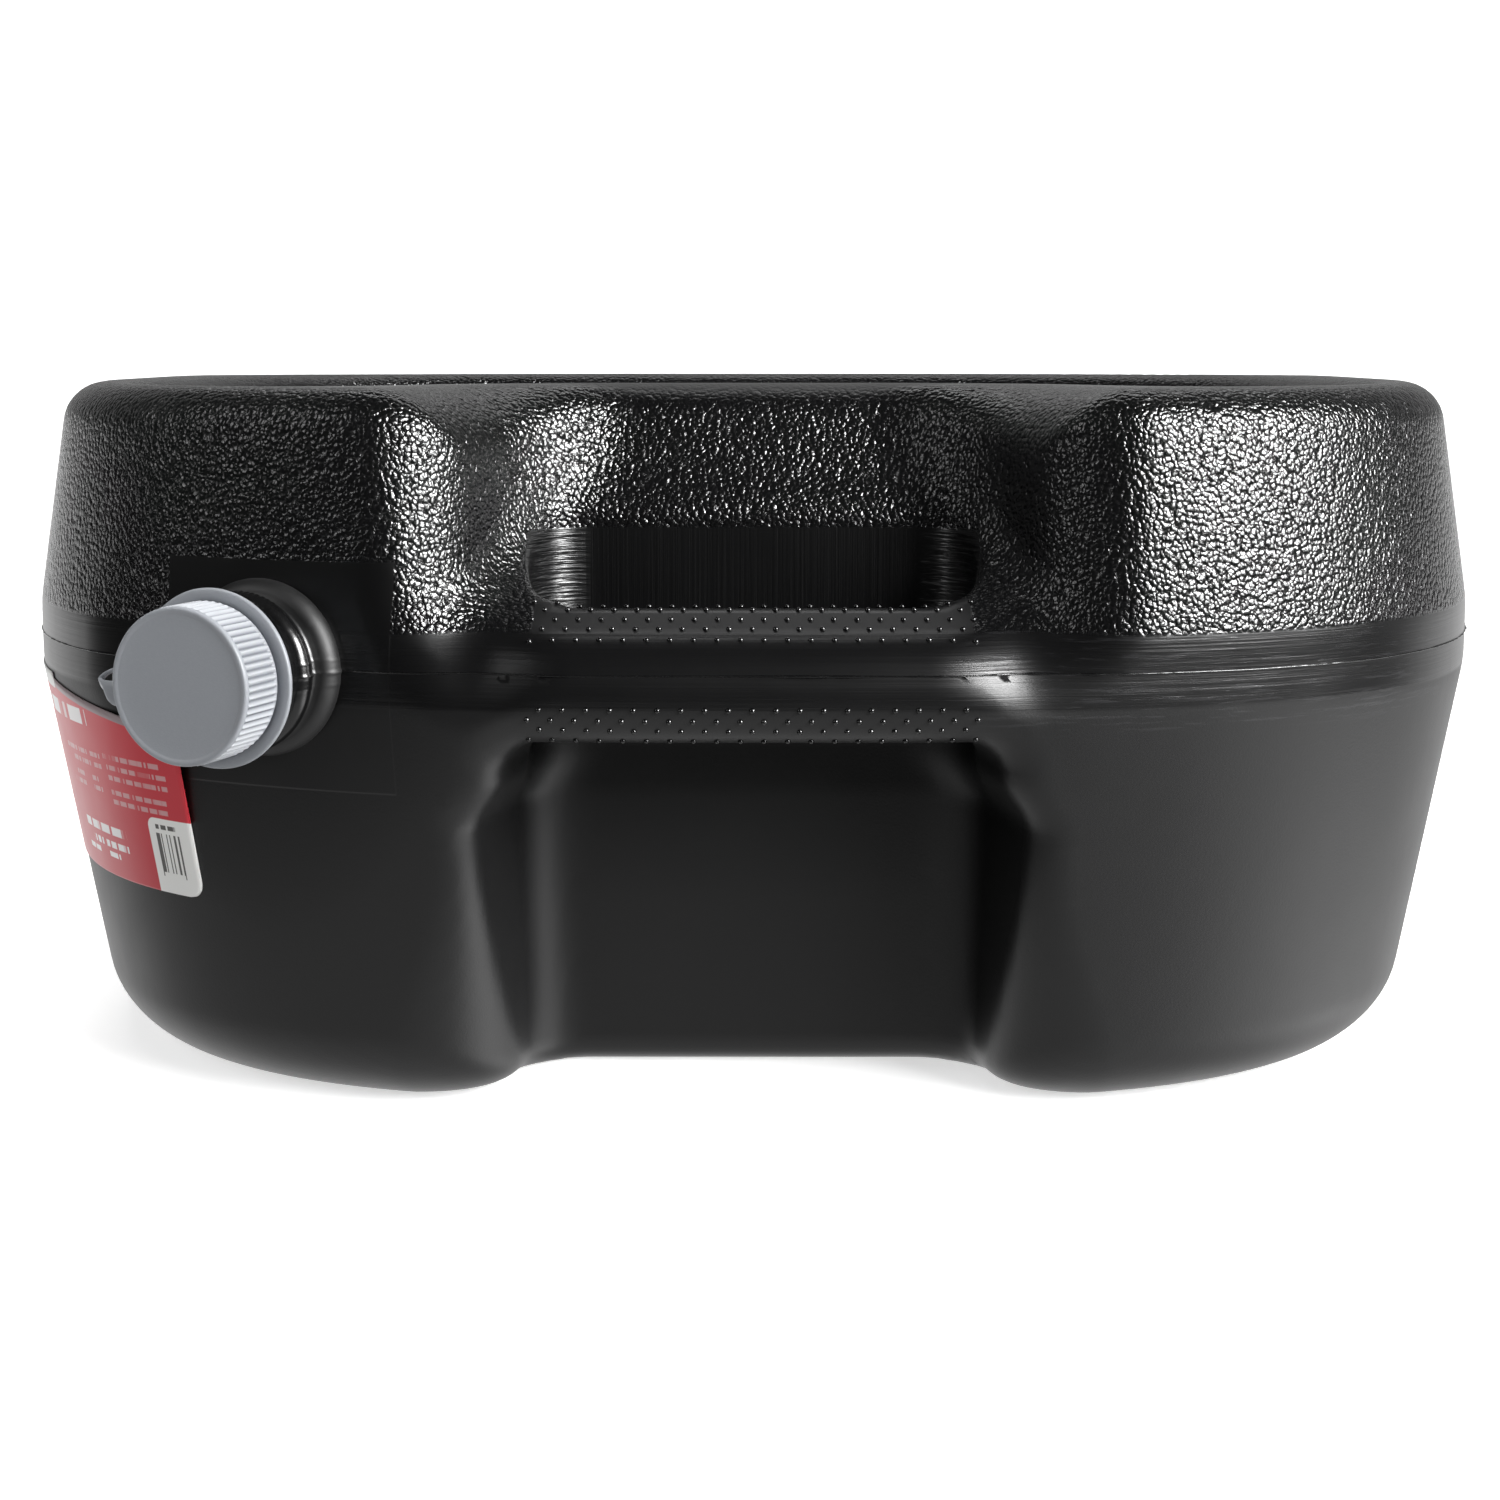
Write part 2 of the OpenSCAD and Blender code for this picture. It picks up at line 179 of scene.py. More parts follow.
class Finish(Nodes):
    """A material: one Principled shader, its constants, and the nodes that vary it."""

    def __init__(self, name, color, **constants):
        self.material = bpy.data.materials.new(name)
        self.material.use_nodes = True
        super().__init__(self.material.node_tree)
        self.shader = self.tree.nodes["Principled BSDF"]
        self.shader.inputs["Base Color"].default_value = (*color, 1)
        for socket, value in constants.items():
            self.shader.inputs[socket.replace("_", " ")].default_value = value
        metres = self.node("ShaderNodeTexCoord", output=3)
        self.place = self.stretch(metres, (1000, 1000, 1000))

    def feed(self, socket, wire):
        self.tree.links.new(wire.socket, self.shader.inputs[socket])

    def relief(self, height):
        """Raises the surface by a height in millimetres."""
        values = {"Height": height, "Distance": 0.001, "Strength": 1.0}
        self.feed("Normal", self.node("ShaderNodeBump", None, values))


def new_piece(name, points, faces, finish):
    """A smooth-shaded mesh object at the origin, from points in millimetres and faces."""
    mesh = bpy.data.meshes.new(name)
    mesh.from_pydata((np.asarray(points, float) / 1000).tolist(), [], faces)
    mesh.shade_smooth()
    mesh.materials.append(finish.material)
    piece = bpy.data.objects.new(name, mesh)
    bpy.context.collection.objects.link(piece)
    return piece


def grid_faces(rows, columns, wrap_rows=False, wrap_columns=False):
    """The quads of a grid of points in row order; a wrapped way joins its last line to its
    first."""
    row, column = np.meshgrid(np.arange(rows - (not wrap_rows)),
                              np.arange(columns - (not wrap_columns)), indexing="ij")
    next_row, next_column = (row + 1) % rows, (column + 1) % columns
    corners = (row, column), (row, next_column), (next_row, next_column), (next_row, column)
    return np.stack([r * columns + c for r, c in corners], -1).reshape(-1, 4)


def full_turn(count):
    """Angles evenly spaced round a full turn."""
    return np.linspace(0, 2 * math.pi, count, endpoint=False)


sweep_paper = Finish("sweep_paper", (0.9, 0.9, 0.9), Roughness=0.9, Specular_IOR_Level=0.1,
                     Emission_Color=(1, 1, 1, 1), Emission_Strength=0.6)
fibres = sweep_paper.noise(sweep_paper.place, 0.3, 3.0)
sweep_paper.feed("Base Color", sweep_paper.mix(fibres, (0.88, 0.88, 0.88, 1),
                                               (0.92, 0.92, 0.92, 1)))
sweep_front, sweep_back, sweep_round, sweep_top = -4000, 1200, 600, 3500
bend = np.linspace(0, math.pi / 2, 12)
sweep_y = np.concatenate([[sweep_front, -1500], sweep_back + sweep_round * np.sin(bend),
                          [sweep_back + sweep_round]])
sweep_z = np.concatenate([[0, 0], sweep_round * (1 - np.cos(bend)), [sweep_top]])
sweep_x = np.array([-4000, 4000])
points = np.stack(np.broadcast_arrays(sweep_x[None], sweep_y[:, None], sweep_z[:, None]), -1)
floor = new_piece("studio_sweep", points.reshape(-1, 3), grid_faces(len(sweep_y), 2).tolist(),
                  sweep_paper)
floor.visible_glossy = False
floor.visible_diffuse = False

# -------------------------------------------------------------------- Tank
# One hollow blow moulding of black polyethylene, 2.5 mm thick: a squarish
# bowl with a draft each way from the parting line, a catch basin in its top,
# a hand recess and scoop in its front, and the carrying grip left between
# them. The upper mould half is grained and the lower half is smooth.
black = (0.0022, 0.0022, 0.0024)
half_w, half_l, height = 220.0, 195.0, 195.0
outline_power = 3.0
power = 2 / outline_power
seam = 123.0
land_low, land_high, land_soft = seam - 8.5, seam + 9.0, 0.9
lower_slope, upper_slope = math.tan(math.radians(9.3)), math.tan(math.radians(8.1))
wall = 2.5
rim_fall = 1.6
grip_low, grip_high, grip_half = 104.5, 139.5, 57.0
hollow_back = 57.0
basin_inset, basin_front = 30.0, -121.0
hole_middle, hole_round, hole_straight = 41.0, 16.0, 44.0
spout_base = np.array([-126.5, 18.5 - half_l])
spout_angle = math.radians(21.5)
spout_dir = np.array([-math.sin(spout_angle), -math.cos(spout_angle)])
spout_side = np.array([-spout_dir[1], spout_dir[0]])
port_z, port_hole = 149.0, 24.4


def rounded_and(a, b, radius):
    """Inside both a and b, as distances that are negative inside: their edge is rounded."""
    corner = np.hypot(np.maximum(a + radius, 0), np.maximum(b + radius, 0))
    return np.minimum(np.maximum(a, b), -radius) + corner


def smooth(value, low, high):
    """0 at low and 1 at high, as 3t^2 - 2t^3 between them."""
    share = np.clip((value - low) / (high - low), 0, 1)
    return share * share * (3 - 2 * share)


def wall_inset(z):
    """How far the wall stands inside the parting line's outline: a softened slope each way."""
    below = np.logaddexp(0, (land_low - z) / land_soft) * land_soft * lower_slope
    above = np.logaddexp(0, (z - land_high) / land_soft) * land_soft * upper_slope
    return below + above


def outline_point(angle, inset):
    """The x and y, in plan, of a|cos|^(2/n) and b|sin|^(2/n) with the signs of cos and sin."""
    cos, sin = np.cos(angle), np.sin(angle)
    return ((half_w - inset) * np.sign(cos) * np.abs(cos) ** power,
            (half_l - inset) * np.sign(sin) * np.abs(sin) ** power)


def outline_distance(x, y, inset):
    """Distance outside the superellipse (|x/a|^n + |y/b|^n)^(1/n) = 1, to first order."""
    a, b = half_w - inset, half_l - inset
    u, v = np.abs(x) / a, np.abs(y) / b
    g = np.maximum((u**outline_power + v**outline_power) ** (1 / outline_power), 0.02)
    slope = np.hypot(u ** (outline_power - 1) / a, v ** (outline_power - 1) / b)
    return (g - 1) * g ** (outline_power - 1) / np.maximum(slope, 1e-5)


def hand_spaces(x, depth, z):
    """The three hollows of the hand hold, each negative inside: recess, scoop and finger hole."""
    side = (np.abs(x) - (75.0 - 0.23 * depth) + 8 * smooth(z, 80, 96)) * 0.975
    back = depth - hollow_back - 0.11 * np.maximum(82 - z, 0)
    recess = rounded_and(rounded_and(side, back, 12.0), z - grip_low, 9.0)
    side = (np.abs(x) - (85 + 0.08 * (z - 150) - 0.46 * depth)) * 0.9
    back = (depth - hollow_back - 0.40 * (z - 156)) * 0.93
    base = (grip_high + (depth - 25) * 0.5 - z) * 0.89
    scoop = rounded_and(rounded_and(side, back, 22.0), base, 12.0)
    hole = np.hypot(np.maximum(np.abs(x) - hole_straight, 0), depth - hole_middle) - hole_round
    return recess, scoop, hole


def basin_space(x, y, z):
    """The catch basin: inside the rim, behind the scoop, above a floor that falls to the port."""
    lean = 0.29 * np.maximum(187 - z, 0)
    depth = y + half_l
    side = (np.abs(x) - (104.5 - 0.45 * depth)) * 0.9
    scoop = rounded_and(side, (depth - 72.6) * 0.98, 22.0)
    rim = outline_distance(x, y, 0.0) + basin_inset + lean
    plan = rounded_and(rim, 22.5 + lean - scoop, 24.0)
    floor_z = port_z + 0.055 * np.hypot(x, y) - z
    return rounded_and(plan, floor_z, 15.0)


def tank_field(x, y, z):
    """Distance outside the tank's outer surface, near enough close to that surface."""
    depth = y + half_l
    body = outline_distance(x, y, wall_inset(z))
    past_pad = x * spout_dir[0] + y * spout_dir[1] - spout_base @ spout_dir - 1.5
    body = rounded_and(body, past_pad, 8.0)
    recess, scoop, hole = hand_spaces(x, depth, z)
    body = rounded_and(body, -recess, 9 + 19 * smooth(z, 75, 0))
    body = rounded_and(body, -z, 8 + 14 * smooth(np.abs(x), 56, 92))
    body = rounded_and(body, z - height + rim_fall * smooth(y, 0, 190), 10.5)
    body = rounded_and(body, -scoop, 8 + 12 * smooth(np.abs(x), 46, 76))
    body = rounded_and(body, -hole, 3.5)
    return rounded_and(body, -basin_space(x, y, z), 8.0)


def graded(low, high, fine_low, fine_high, fine, coarse):
    """Grid lines from low to high, closer together between fine_low and fine_high."""
    middle = np.linspace(fine_low, fine_high, round((fine_high - fine_low) / fine) + 1)
    before = np.linspace(low, fine_low, max(round((fine_low - low) / coarse), 1) + 1)[:-1]
    after = np.linspace(fine_high, high, max(round((high - fine_high) / coarse), 1) + 1)[1:]
    return np.concatenate([before, middle, after])


def surface_net(field, lines):
    """The surface field = 0 on a grid: a point in each cell that it crosses, at the mean of the
    cell's crossed edges, and a quad round each crossed edge."""
    f = field(*np.meshgrid(*lines, indexing="ij", sparse=True))
    inside = f < 0
    cells = tuple(n - 1 for n in f.shape)
    total, count = np.zeros(cells + (3,)), np.zeros(cells)
    for axis in range(3):
        others = [a for a in range(3) if a != axis]
        for shift in ((0, 0), (0, 1), (1, 0), (1, 1)):
            start = [slice(0, n) for n in cells]
            for a, s in zip(others, shift):
                start[a] = slice(s, cells[a] + s)
            end = list(start)
            end[axis] = slice(1, cells[axis] + 1)
            f0, f1 = f[tuple(start)], f[tuple(end)]
            hit = inside[tuple(start)] != inside[tuple(end)]
            share = np.where(hit, f0 / np.where(hit, f0 - f1, 1), 0)
            for a in range(3):
                line = lines[a][start[a]].reshape([-1 if i == a else 1 for i in range(3)])
                gap = np.diff(lines[axis]).reshape([-1 if i == axis else 1 for i in range(3)])
                total[..., a] += np.where(hit, line + (share * gap if a == axis else 0), 0)
            count += hit
    used = count > 0
    index = np.full(cells, -1)
    index[used] = np.arange(used.sum())
    quads, one = [], np.eye(3, dtype=int)
    for axis in range(3):
        low = [slice(1, n - 1) for n in f.shape]
        high = list(low)
        low[axis], high[axis] = slice(0, -1), slice(1, None)
        start, end = inside[tuple(low)], inside[tuple(high)]
        at = np.argwhere(start != end)
        leaves = start[tuple(at.T)]
        b, c = (axis + 1) % 3, (axis + 2) % 3
        corners = []
        for step_b, step_c in ((0, 0), (-1, 0), (-1, -1), (0, -1)):
            cell = at + one[b] * (step_b + 1) + one[c] * (step_c + 1)
            corners.append(index[tuple(cell.T)])
        quad = np.stack(corners, 1)
        quads.append(np.where(leaves[:, None], quad, quad[:, ::-1]))
    return total[used] / count[used][:, None], np.concatenate(quads)


def slope_of(field, points, step=0.05):
    """The gradient of the field at each point, by central differences."""
    moves = np.eye(3) * step
    sides = [field(*(points + m).T) - field(*(points - m).T) for m in moves]
    return np.stack(sides, 1) / (2 * step)


front_step, side_step, back_step, level_step = 2.6, 3.8, 4.4, 2.4
grid_lines = [graded(-half_w - 4, half_w + 4, -112, 112, front_step, side_step),
              graded(-half_l - 4, half_l + 4, -198, -104, front_step, back_step),
              np.arange(-3, height + 5, level_step)]
skin_points, skin_quads = surface_net(tank_field, grid_lines)
on_seam = np.abs(skin_points[:, 2] - seam) < 1.0
skin_points[on_seam, 2] = seam
for _ in range(4):
    slope = slope_of(tank_field, skin_points)
    slope[on_seam, 2] = 0
    step = tank_field(*skin_points.T)[:, None] * slope / (slope**2).sum(1, keepdims=True).clip(0.05)
    skin_points -= np.clip(step, -1.5, 1.5)
skin_normals = slope_of(tank_field, skin_points)
skin_normals[on_seam, 2] = 0
skin_normals /= np.linalg.norm(skin_normals, axis=1, keepdims=True)
middle = skin_points[skin_quads].mean(1)
off_spout = middle[:, :2] - spout_base
under_spout = np.hypot(off_spout @ spout_side, middle[:, 2] - seam) < 18.5
under_spout &= np.abs(off_spout @ spout_dir) < 12
over_port = (np.hypot(middle[:, 0], middle[:, 1]) < port_hole) & (middle[:, 2] > seam)
skin_quads = skin_quads[~under_spout & ~over_port]


def two_sided(quads, count):
    """The faces of a wall whose count outer points come first and its inner ones after them:
    outer quads, inner quads and a strip round each open border. Gives the border's edges too."""
    edges = np.concatenate([quads[:, [i, (i + 1) % 4]] for i in range(4)])
    _, first, times = np.unique(np.sort(edges, 1), axis=0, return_index=True, return_counts=True)
    border = edges[first[times == 1]]
    strip = np.stack([border[:, 1], border[:, 0], border[:, 0] + count, border[:, 1] + count], 1)
    return np.concatenate([quads, quads[:, ::-1] + count, strip]).tolist(), border


def shell_piece(name, quads, finish):
    """A wall of even thickness, from the outer quads and points moved in along the normals."""
    used, quads = np.unique(quads, return_inverse=True)
    quads = quads.reshape(-1, 4)
    outer, count = skin_points[used], len(used)
    inner = outer - skin_normals[used] * wall
    faces, border = two_sided(quads, count)
    piece = new_piece(name, np.concatenate([outer, inner]), faces, finish)
    at_border = np.zeros(2 * count, bool)
    at_border[border.ravel()] = True
    at_border[border.ravel() + count] = True
    ends = np.empty(len(piece.data.edges) * 2, int)
    piece.data.edges.foreach_get("vertices", ends)
    sharp = piece.data.attributes.new("sharp_edge", "BOOLEAN", "EDGE")
    sharp.data.foreach_set("value", at_border[ends.reshape(-1, 2)].all(1))
    return piece


def along_plan(finish, direction):
    """How far a shaded point lies from the spout's base, along one direction in plan."""
    x, y, _ = finish.axes(finish.place)
    return x * float(direction[0]) + y * float(direction[1]) - float(spout_base @ direction)


def black_tank(name, upper):
    """Black polyethylene: leather grain on the upper half, satin on the lower half, and on both a
    smooth land with flow lines at the parting line, a flat pad round the spout and a plain grip."""
    finish = Finish(name, black, Specular_IOR_Level=0.5)
    place = finish.place
    x, y, z = finish.axes(place)
    depth = y + half_l
    across = along_plan(finish, spout_side)
    pad = across.within(-30, 36, 0.6) * z.within(91, 151, 0.6) * (1 - depth.above(90))
    flat = 1 - z.within(land_low - 0.5, land_high + 1.0, 1.5)
    fine = finish.noise(place, 1.6, 3.0)
    cloud = finish.noise(place, 0.03, 3.0, 0.6)
    flow = finish.noise(finish.stretch(place, (0.012, 0.012, 1.3)), 1.0, 3.0, 0.6)
    # Painted sheen: lighter horizontal streaks in the base colour on the right front of the land,
    # where the right light falls; the same mask also raises the surface by a hundredth of a
    # millimetre.
    sheen_streak_noise = finish.noise(finish.stretch(place, (0.06, 0.06, 0.9)), 1.0, 4.0, 0.7).above(0.60, 0.12)
    painted_sheen = sheen_streak_noise * x.within(60, 190, 40) * z.within(108, 133, 4) * (1 - depth.above(120, 40))
    height_mm = flow * (1 - flat) * 0.10 + pad * 0.10 + painted_sheen * 0.01
    if upper:
        warp = finish.node("ShaderNodeTexNoise", None,
                           {"Vector": place, "Scale": 0.5, "Detail": 2.0}, 1)
        warped = finish.node("ShaderNodeVectorMath", {"operation": "MULTIPLY_ADD"},
                             {0: warp, 1: (1.6, 1.6, 1.6), 2: place})
        reach = finish.node("ShaderNodeTexVoronoi", {"feature": "F1"},
                            {"Vector": warped, "Scale": 0.72})
        grip = 1 - abs(x).above(grip_half, 1)
        grip = grip * (1 - depth.above(26, 1)) * (1 - z.above(grip_high + 1.5, 1))
        past_end = (abs(x) - hole_straight).math("MAXIMUM", 0.0)
        off_middle = depth - hole_middle
        ends = past_end.above(2, 4)
        from_line = past_end * past_end + off_middle * off_middle
        in_hole = (1 - from_line.above((hole_round + 1.2) ** 2, 30)) * (1 - z.above(156, 1))
        across_basin = abs(x) * (1 / (half_w - basin_inset))
        along_basin = abs(y) * (1 / (half_l - basin_inset))
        corner = across_basin * across_basin * across_basin
        corner = corner + along_basin * along_basin * along_basin
        basin = (1 - corner.above(1.0, 0.12)) * y.above(basin_front, 6)
        grain = flat * (1 - pad) * (1 - grip) * (1 - in_hole) * (1 - basin * 0.6)
        streaks = finish.noise(finish.stretch(place, (1.4, 0.2, 0.02)), 1.0, 2.0)
        wrinkles = finish.noise(finish.stretch(place, (0.08, 0.08, 1.1)), 1.0, 3.0)
        pebble = 1 - reach * reach * 2.2
        moulded = streaks * (1 - ends) * 0.12 + wrinkles * ends * 0.5
        finish.relief(height_mm + grain * (pebble * 0.17 + fine * 0.05) + in_hole * moulded)
        finish.feed("Roughness", 0.26 - grain * 0.06 + basin * 0.30 + cloud * 0.06)
    else:
        finish.relief(height_mm + flat * (1 - pad) * fine * 0.035)
        finish.feed("Roughness", 0.27 + flat * 0.11 + cloud * 0.1)
    # The base colour is lightened by the painted sheen on the land's right front.
    finish.feed("Base Color", finish.mix(painted_sheen, (*black, 1), (0.014, 0.014, 0.015, 1)))
    return finish


black_grained = black_tank("black_grained", True)
black_satin = black_tank("black_satin", False)
is_upper = skin_points[skin_quads].mean(1)[:, 2] > seam
tank_upper = shell_piece("tank_upper_skin", skin_quads[is_upper], black_grained)
tank_lower = shell_piece("tank_lower_skin", skin_quads[~is_upper], black_satin)
for piece, slot in ((tank_upper, "tank_grained"), (tank_lower, "tank_satin")):
    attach(piece, "tank")
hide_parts("tank_upper")
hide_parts("tank_lower", "tank_base", "carry_grip")

# ----------------------------------------------------------- Parting flash
# The thin ragged line of black polyethylene that the two mould halves leave
# all round the parting line, trimmed by hand. It is one piece with the tank.
chance = np.random.default_rng(7)


def ragged(count, scales, heights):
    """A closed line of random heights: interpolated steps of several lengths, added."""
    total = np.zeros(count)
    for scale, size in zip(scales, heights):
        knots = chance.random(scale)
        total += size * np.interp(np.arange(count) / count * scale, np.arange(scale + 1),
                                  np.append(knots, knots[0]))
    return total


flash_count = 1400
line = np.stack([*outline_point(full_turn(flash_count), 0.0), np.full(flash_count, seam)], 1)
for _ in range(6):
    slope = slope_of(tank_field, line)
    slope[:, 2] = 0
    slope /= np.linalg.norm(slope, axis=1, keepdims=True)
    line -= np.clip(tank_field(*line.T), -1, 1)[:, None] * slope
proud = 0.22 + 0.45 * np.maximum(ragged(flash_count, (90, 300, 700), (0.9, 0.7, 0.6)) - 0.75, 0)
drift = 0.5 * (ragged(flash_count, (40, 160), (1.0, 0.6)) - 0.8)
profile = np.array([[-0.5, 0.32], [0.4, 0.2], [1.0, 0.0], [0.4, -0.2], [-0.5, -0.32]])
out = np.where(profile[None, :, 0] > 0, profile[None, :, 0] * proud[:, None], profile[None, :, 0])
points = line[:, None] + out[..., None] * slope[:, None]
points[..., 2] += profile[None, :, 1] * (0.7 + proud[:, None]) + drift[:, None] * 0.3
flash_gloss = Finish("flash_gloss", black, Specular_IOR_Level=0.6)
flash_gloss.feed("Roughness", flash_gloss.noise(flash_gloss.place, 0.5, 2.0) * 0.2 + 0.14)
flash_gloss.relief(flash_gloss.noise(flash_gloss.place, 2.0, 2.0) * 0.05)
flash = new_piece("parting_flash", points.reshape(-1, 3),
                  grid_faces(flash_count, len(profile), True, True)[:, ::-1].tolist(), flash_gloss)
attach(flash, "tank")

# -------------------------------------------------------------- Grip bumps
# Small round studs on the grip, moulded with the tank in staggered rows over
# its upper and its lower front edge, for a hold with oily hands.
stud_pitch, stud_radius, stud_height = 6.0, 0.8, 0.7
upper_rows = (24.5, 139.0), (21.0, 137.5), (17.0, 135.4), (13.0, 133.6), (8.5, 131.4)
lower_rows = (-0.1, 114.4), (0.8, 111.5), (2.4, 108.7), (6.0, 105.5)
seeds = []
for row, (row_depth, level) in enumerate(upper_rows + lower_rows):
    x = np.arange(-grip_half, grip_half + 0.1, stud_pitch) + (row % 2) * stud_pitch / 2
    x = x[np.abs(x) < grip_half + 1]
    seeds.append(np.stack([x, np.full(len(x), row_depth - half_l), np.full(len(x), level)], 1))
studs = np.concatenate(seeds)
for _ in range(8):
    slope = slope_of(tank_field, studs)
    slope /= np.linalg.norm(slope, axis=1, keepdims=True)
    studs -= np.clip(tank_field(*studs.T), -2, 2)[:, None] * slope
along = np.cross(slope, (1.0, 0, 0))
along /= np.linalg.norm(along, axis=1, keepdims=True)
dome_radius = np.array([1.0, 0.92, 0.66, 0.30]) * stud_radius
dome_height = np.array([-0.4, 0.35, 0.78, 0.97]) * stud_height
rings, sides = len(dome_radius), 10
stud_turn = full_turn(sides)[None, None, :, None]
ring = np.cos(stud_turn) * (1.0, 0, 0) - np.sin(stud_turn) * along[:, None, None]
points = (studs[:, None, None] + dome_height[None, :, None, None] * slope[:, None, None]
          + dome_radius[None, :, None, None] * ring)
quads = grid_faces(rings, sides, False, True)
each = np.arange(len(studs))[:, None, None] * (rings * sides)
faces = (quads[None] + each).reshape(-1, 4).tolist()
faces += (np.arange(sides - 1, -1, -1)[None] + each[:, 0]).tolist()
faces += (np.arange((rings - 1) * sides, rings * sides)[None] + each[:, 0]).tolist()
stud_piece = new_piece("grip_studs", points.reshape(-1, 3), faces, flash_gloss)
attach(stud_piece, "tank")

# -------------------------------------------------------------- Spout neck
# The round neck that is blown with the tank, glossy where it was stretched:
# a wide root bead, a second bead with a few small ribs at its top, and a
# single-start thread up to the lip. The parting line crosses both its sides.
neck_bore, neck_lip, thread_pitch = 14.2, 33.75, 4.4


def closed_piece(name, points, faces, finish):
    """A closed surface, turned so that its faces point out: its signed volume is then positive."""
    points = np.asarray(points, float)
    quads = np.array([f if len(f) == 4 else (*f, f[-1]) for f in faces if len(f) <= 4])
    a, b, c, d = (points[quads[:, i]] for i in range(4))
    volume = (a * np.cross(b, c)).sum() + (a * np.cross(c, d)).sum()
    if volume < 0:
        faces = [f[::-1] for f in faces]
    return new_piece(name, points, faces, finish)


def at_spout(across, up, along_axis):
    """Points in the spout's own frame: across it to the right, up, and out along its axis."""
    flat = spout_base + across[..., None] * spout_side + along_axis[..., None] * spout_dir
    return np.concatenate([flat, (seam + up)[..., None]], -1)


def arc(middle_t, middle_r, radius, start, end, count):
    """Points on part of a circle in a profile, as (distance along the axis, radius) pairs."""
    angle = np.radians(np.linspace(start, end, count))
    return np.stack([middle_t + radius * np.cos(angle), middle_r + radius * np.sin(angle)], 1)


def spun(t, r, angle):
    """Points in the spout's frame from the distance along its axis, the radius and the angle."""
    return at_spout(r * np.cos(angle), r * np.sin(angle), t)


def turned(profile, turn):
    """A profile of (distance along the axis, radius) turned about the axis, as t, r and angle."""
    profile = np.asarray(profile, float)
    t, angle = np.broadcast_arrays(profile[:, 0][:, None], turn[None])
    return t, np.broadcast_to(profile[:, 1][:, None], t.shape), angle


neck_sides = 360
neck_profile = np.concatenate([
    [[-10, neck_bore], [-10, 17.6], [-3, 19.0]],
    arc(1.8, 19.4, 3.8, 150, 12, 18),
    arc(7.1, 20.0, 1.7, 215, 270, 5),
    arc(11.0, 17.6, 3.2, 140, 15, 14),
    [[14.6, 17.9], [15.2, 16.7], [15.8, 16.4], [20.0, 16.4], [26.0, 16.4], [33.0, 16.4],
     [33.5, 16.25]],
    [[neck_lip, 15.9], [neck_lip, 14.6], [33.5, 14.3], [33.0, neck_bore], [10.0, neck_bore]]])
t, r, angle = turned(neck_profile, full_turn(neck_sides))
outer = (t < 16) & (r > neck_bore + 1)
off_parting = np.abs(np.sin(angle)) * r
ridge_noise = ragged(neck_sides, (60, 180), (0.5, 0.5))
ridge = np.exp(-(off_parting / 0.45) ** 2) * (0.12 + 0.3 * ridge_noise)
scar = smooth(off_parting, 3.6, 3.2) * 0.10 + np.exp(-((off_parting - 3.4) / 0.35) ** 2) * 0.10
ribs = smooth(np.abs(angle - math.radians(80)), 0.42, 0.36)
ribs = ribs * np.maximum(np.cos(angle * 82), 0) * 0.22
ribs = ribs * smooth(t, 9.5, 10.5) * smooth(t, 14.2, 13.4)
r = r + outer * (ridge + scar * (np.abs(t - 6) < 9) + ribs)
points = spun(t, r, angle)
neck_gloss = Finish("neck_gloss", (0.004, 0.004, 0.0042), Specular_IOR_Level=0.55)
smear = neck_gloss.noise(neck_gloss.place, 0.25, 4.0, 0.6)
past_root = along_plan(neck_gloss, spout_dir).above(6.0, 3.0)
neck_gloss.feed("Roughness", smear * 0.16 + 0.48 - past_root * 0.32)
neck_gloss.relief(neck_gloss.noise(neck_gloss.place, 0.12, 2.0) * 0.25 + smear * 0.04)
neck = closed_piece("spout_neck_body", points.reshape(-1, 3),
                    grid_faces(len(neck_profile), neck_sides, True, True).tolist(), neck_gloss)


def helix(radius, start, end, pitch, profile, taper=0.5):
    """A thread: a profile of (along the axis, out from the root) pairs carried round a helix, and
    brought down to nothing over the first and the last part of a turn."""
    turns = (end - start) / pitch
    steps = np.linspace(0, turns, int(turns * 72))
    share = np.clip(np.minimum(steps, turns - steps) / taper, 0.02, 1)[:, None]
    profile = np.asarray(profile, float)
    r = radius + np.where(profile[None, :, 1] > 0, profile[None, :, 1] * share, profile[None, :, 1])
    t = start + steps[:, None] * pitch + profile[None, :, 0] * (0.3 + 0.7 * share)
    return t, r, np.broadcast_to(steps[:, None] * 2 * math.pi, r.shape)


def capped(rows, columns):
    """The faces of a tube with a closed face at each end."""
    last = (rows - 1) * columns
    ends = [list(range(columns)), list(range(last + columns - 1, last - 1, -1))]
    return grid_faces(rows, columns, False, True).tolist() + ends


thread_form = [(-0.9, -0.2), (-0.35, 0.68), (0.35, 0.68), (0.9, -0.2)]
t, r, angle = helix(16.4, 19.8, 32.2, thread_pitch, thread_form)
neck_thread = closed_piece("spout_neck_thread", spun(t, r, angle).reshape(-1, 3),
                           capped(*t.shape), neck_gloss)
for piece in (neck, neck_thread):
    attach(piece, "tank")
    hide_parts("spout_neck")

# --------------------------------------------------------------- Screw cap
# A light grey polypropylene cap, injection moulded: a flat face, a rounded
# rim, fine ribs round the skirt, and a sleeve that the tether's ring turns
# on. It is screwed onto the neck, with a foam disc inside.
cap_ribs = 64


def disc_faces(rows, columns):
    """The faces of a turned grid whose first and last rows are each closed with a fan to a
    point."""
    faces = grid_faces(rows, columns, False, True).tolist()
    first, last, low = rows * columns, rows * columns + 1, (rows - 1) * columns
    faces += [[first, (i + 1) % columns, i] for i in range(columns)]
    faces += [[last, low + i, low + (i + 1) % columns] for i in range(columns)]
    return faces


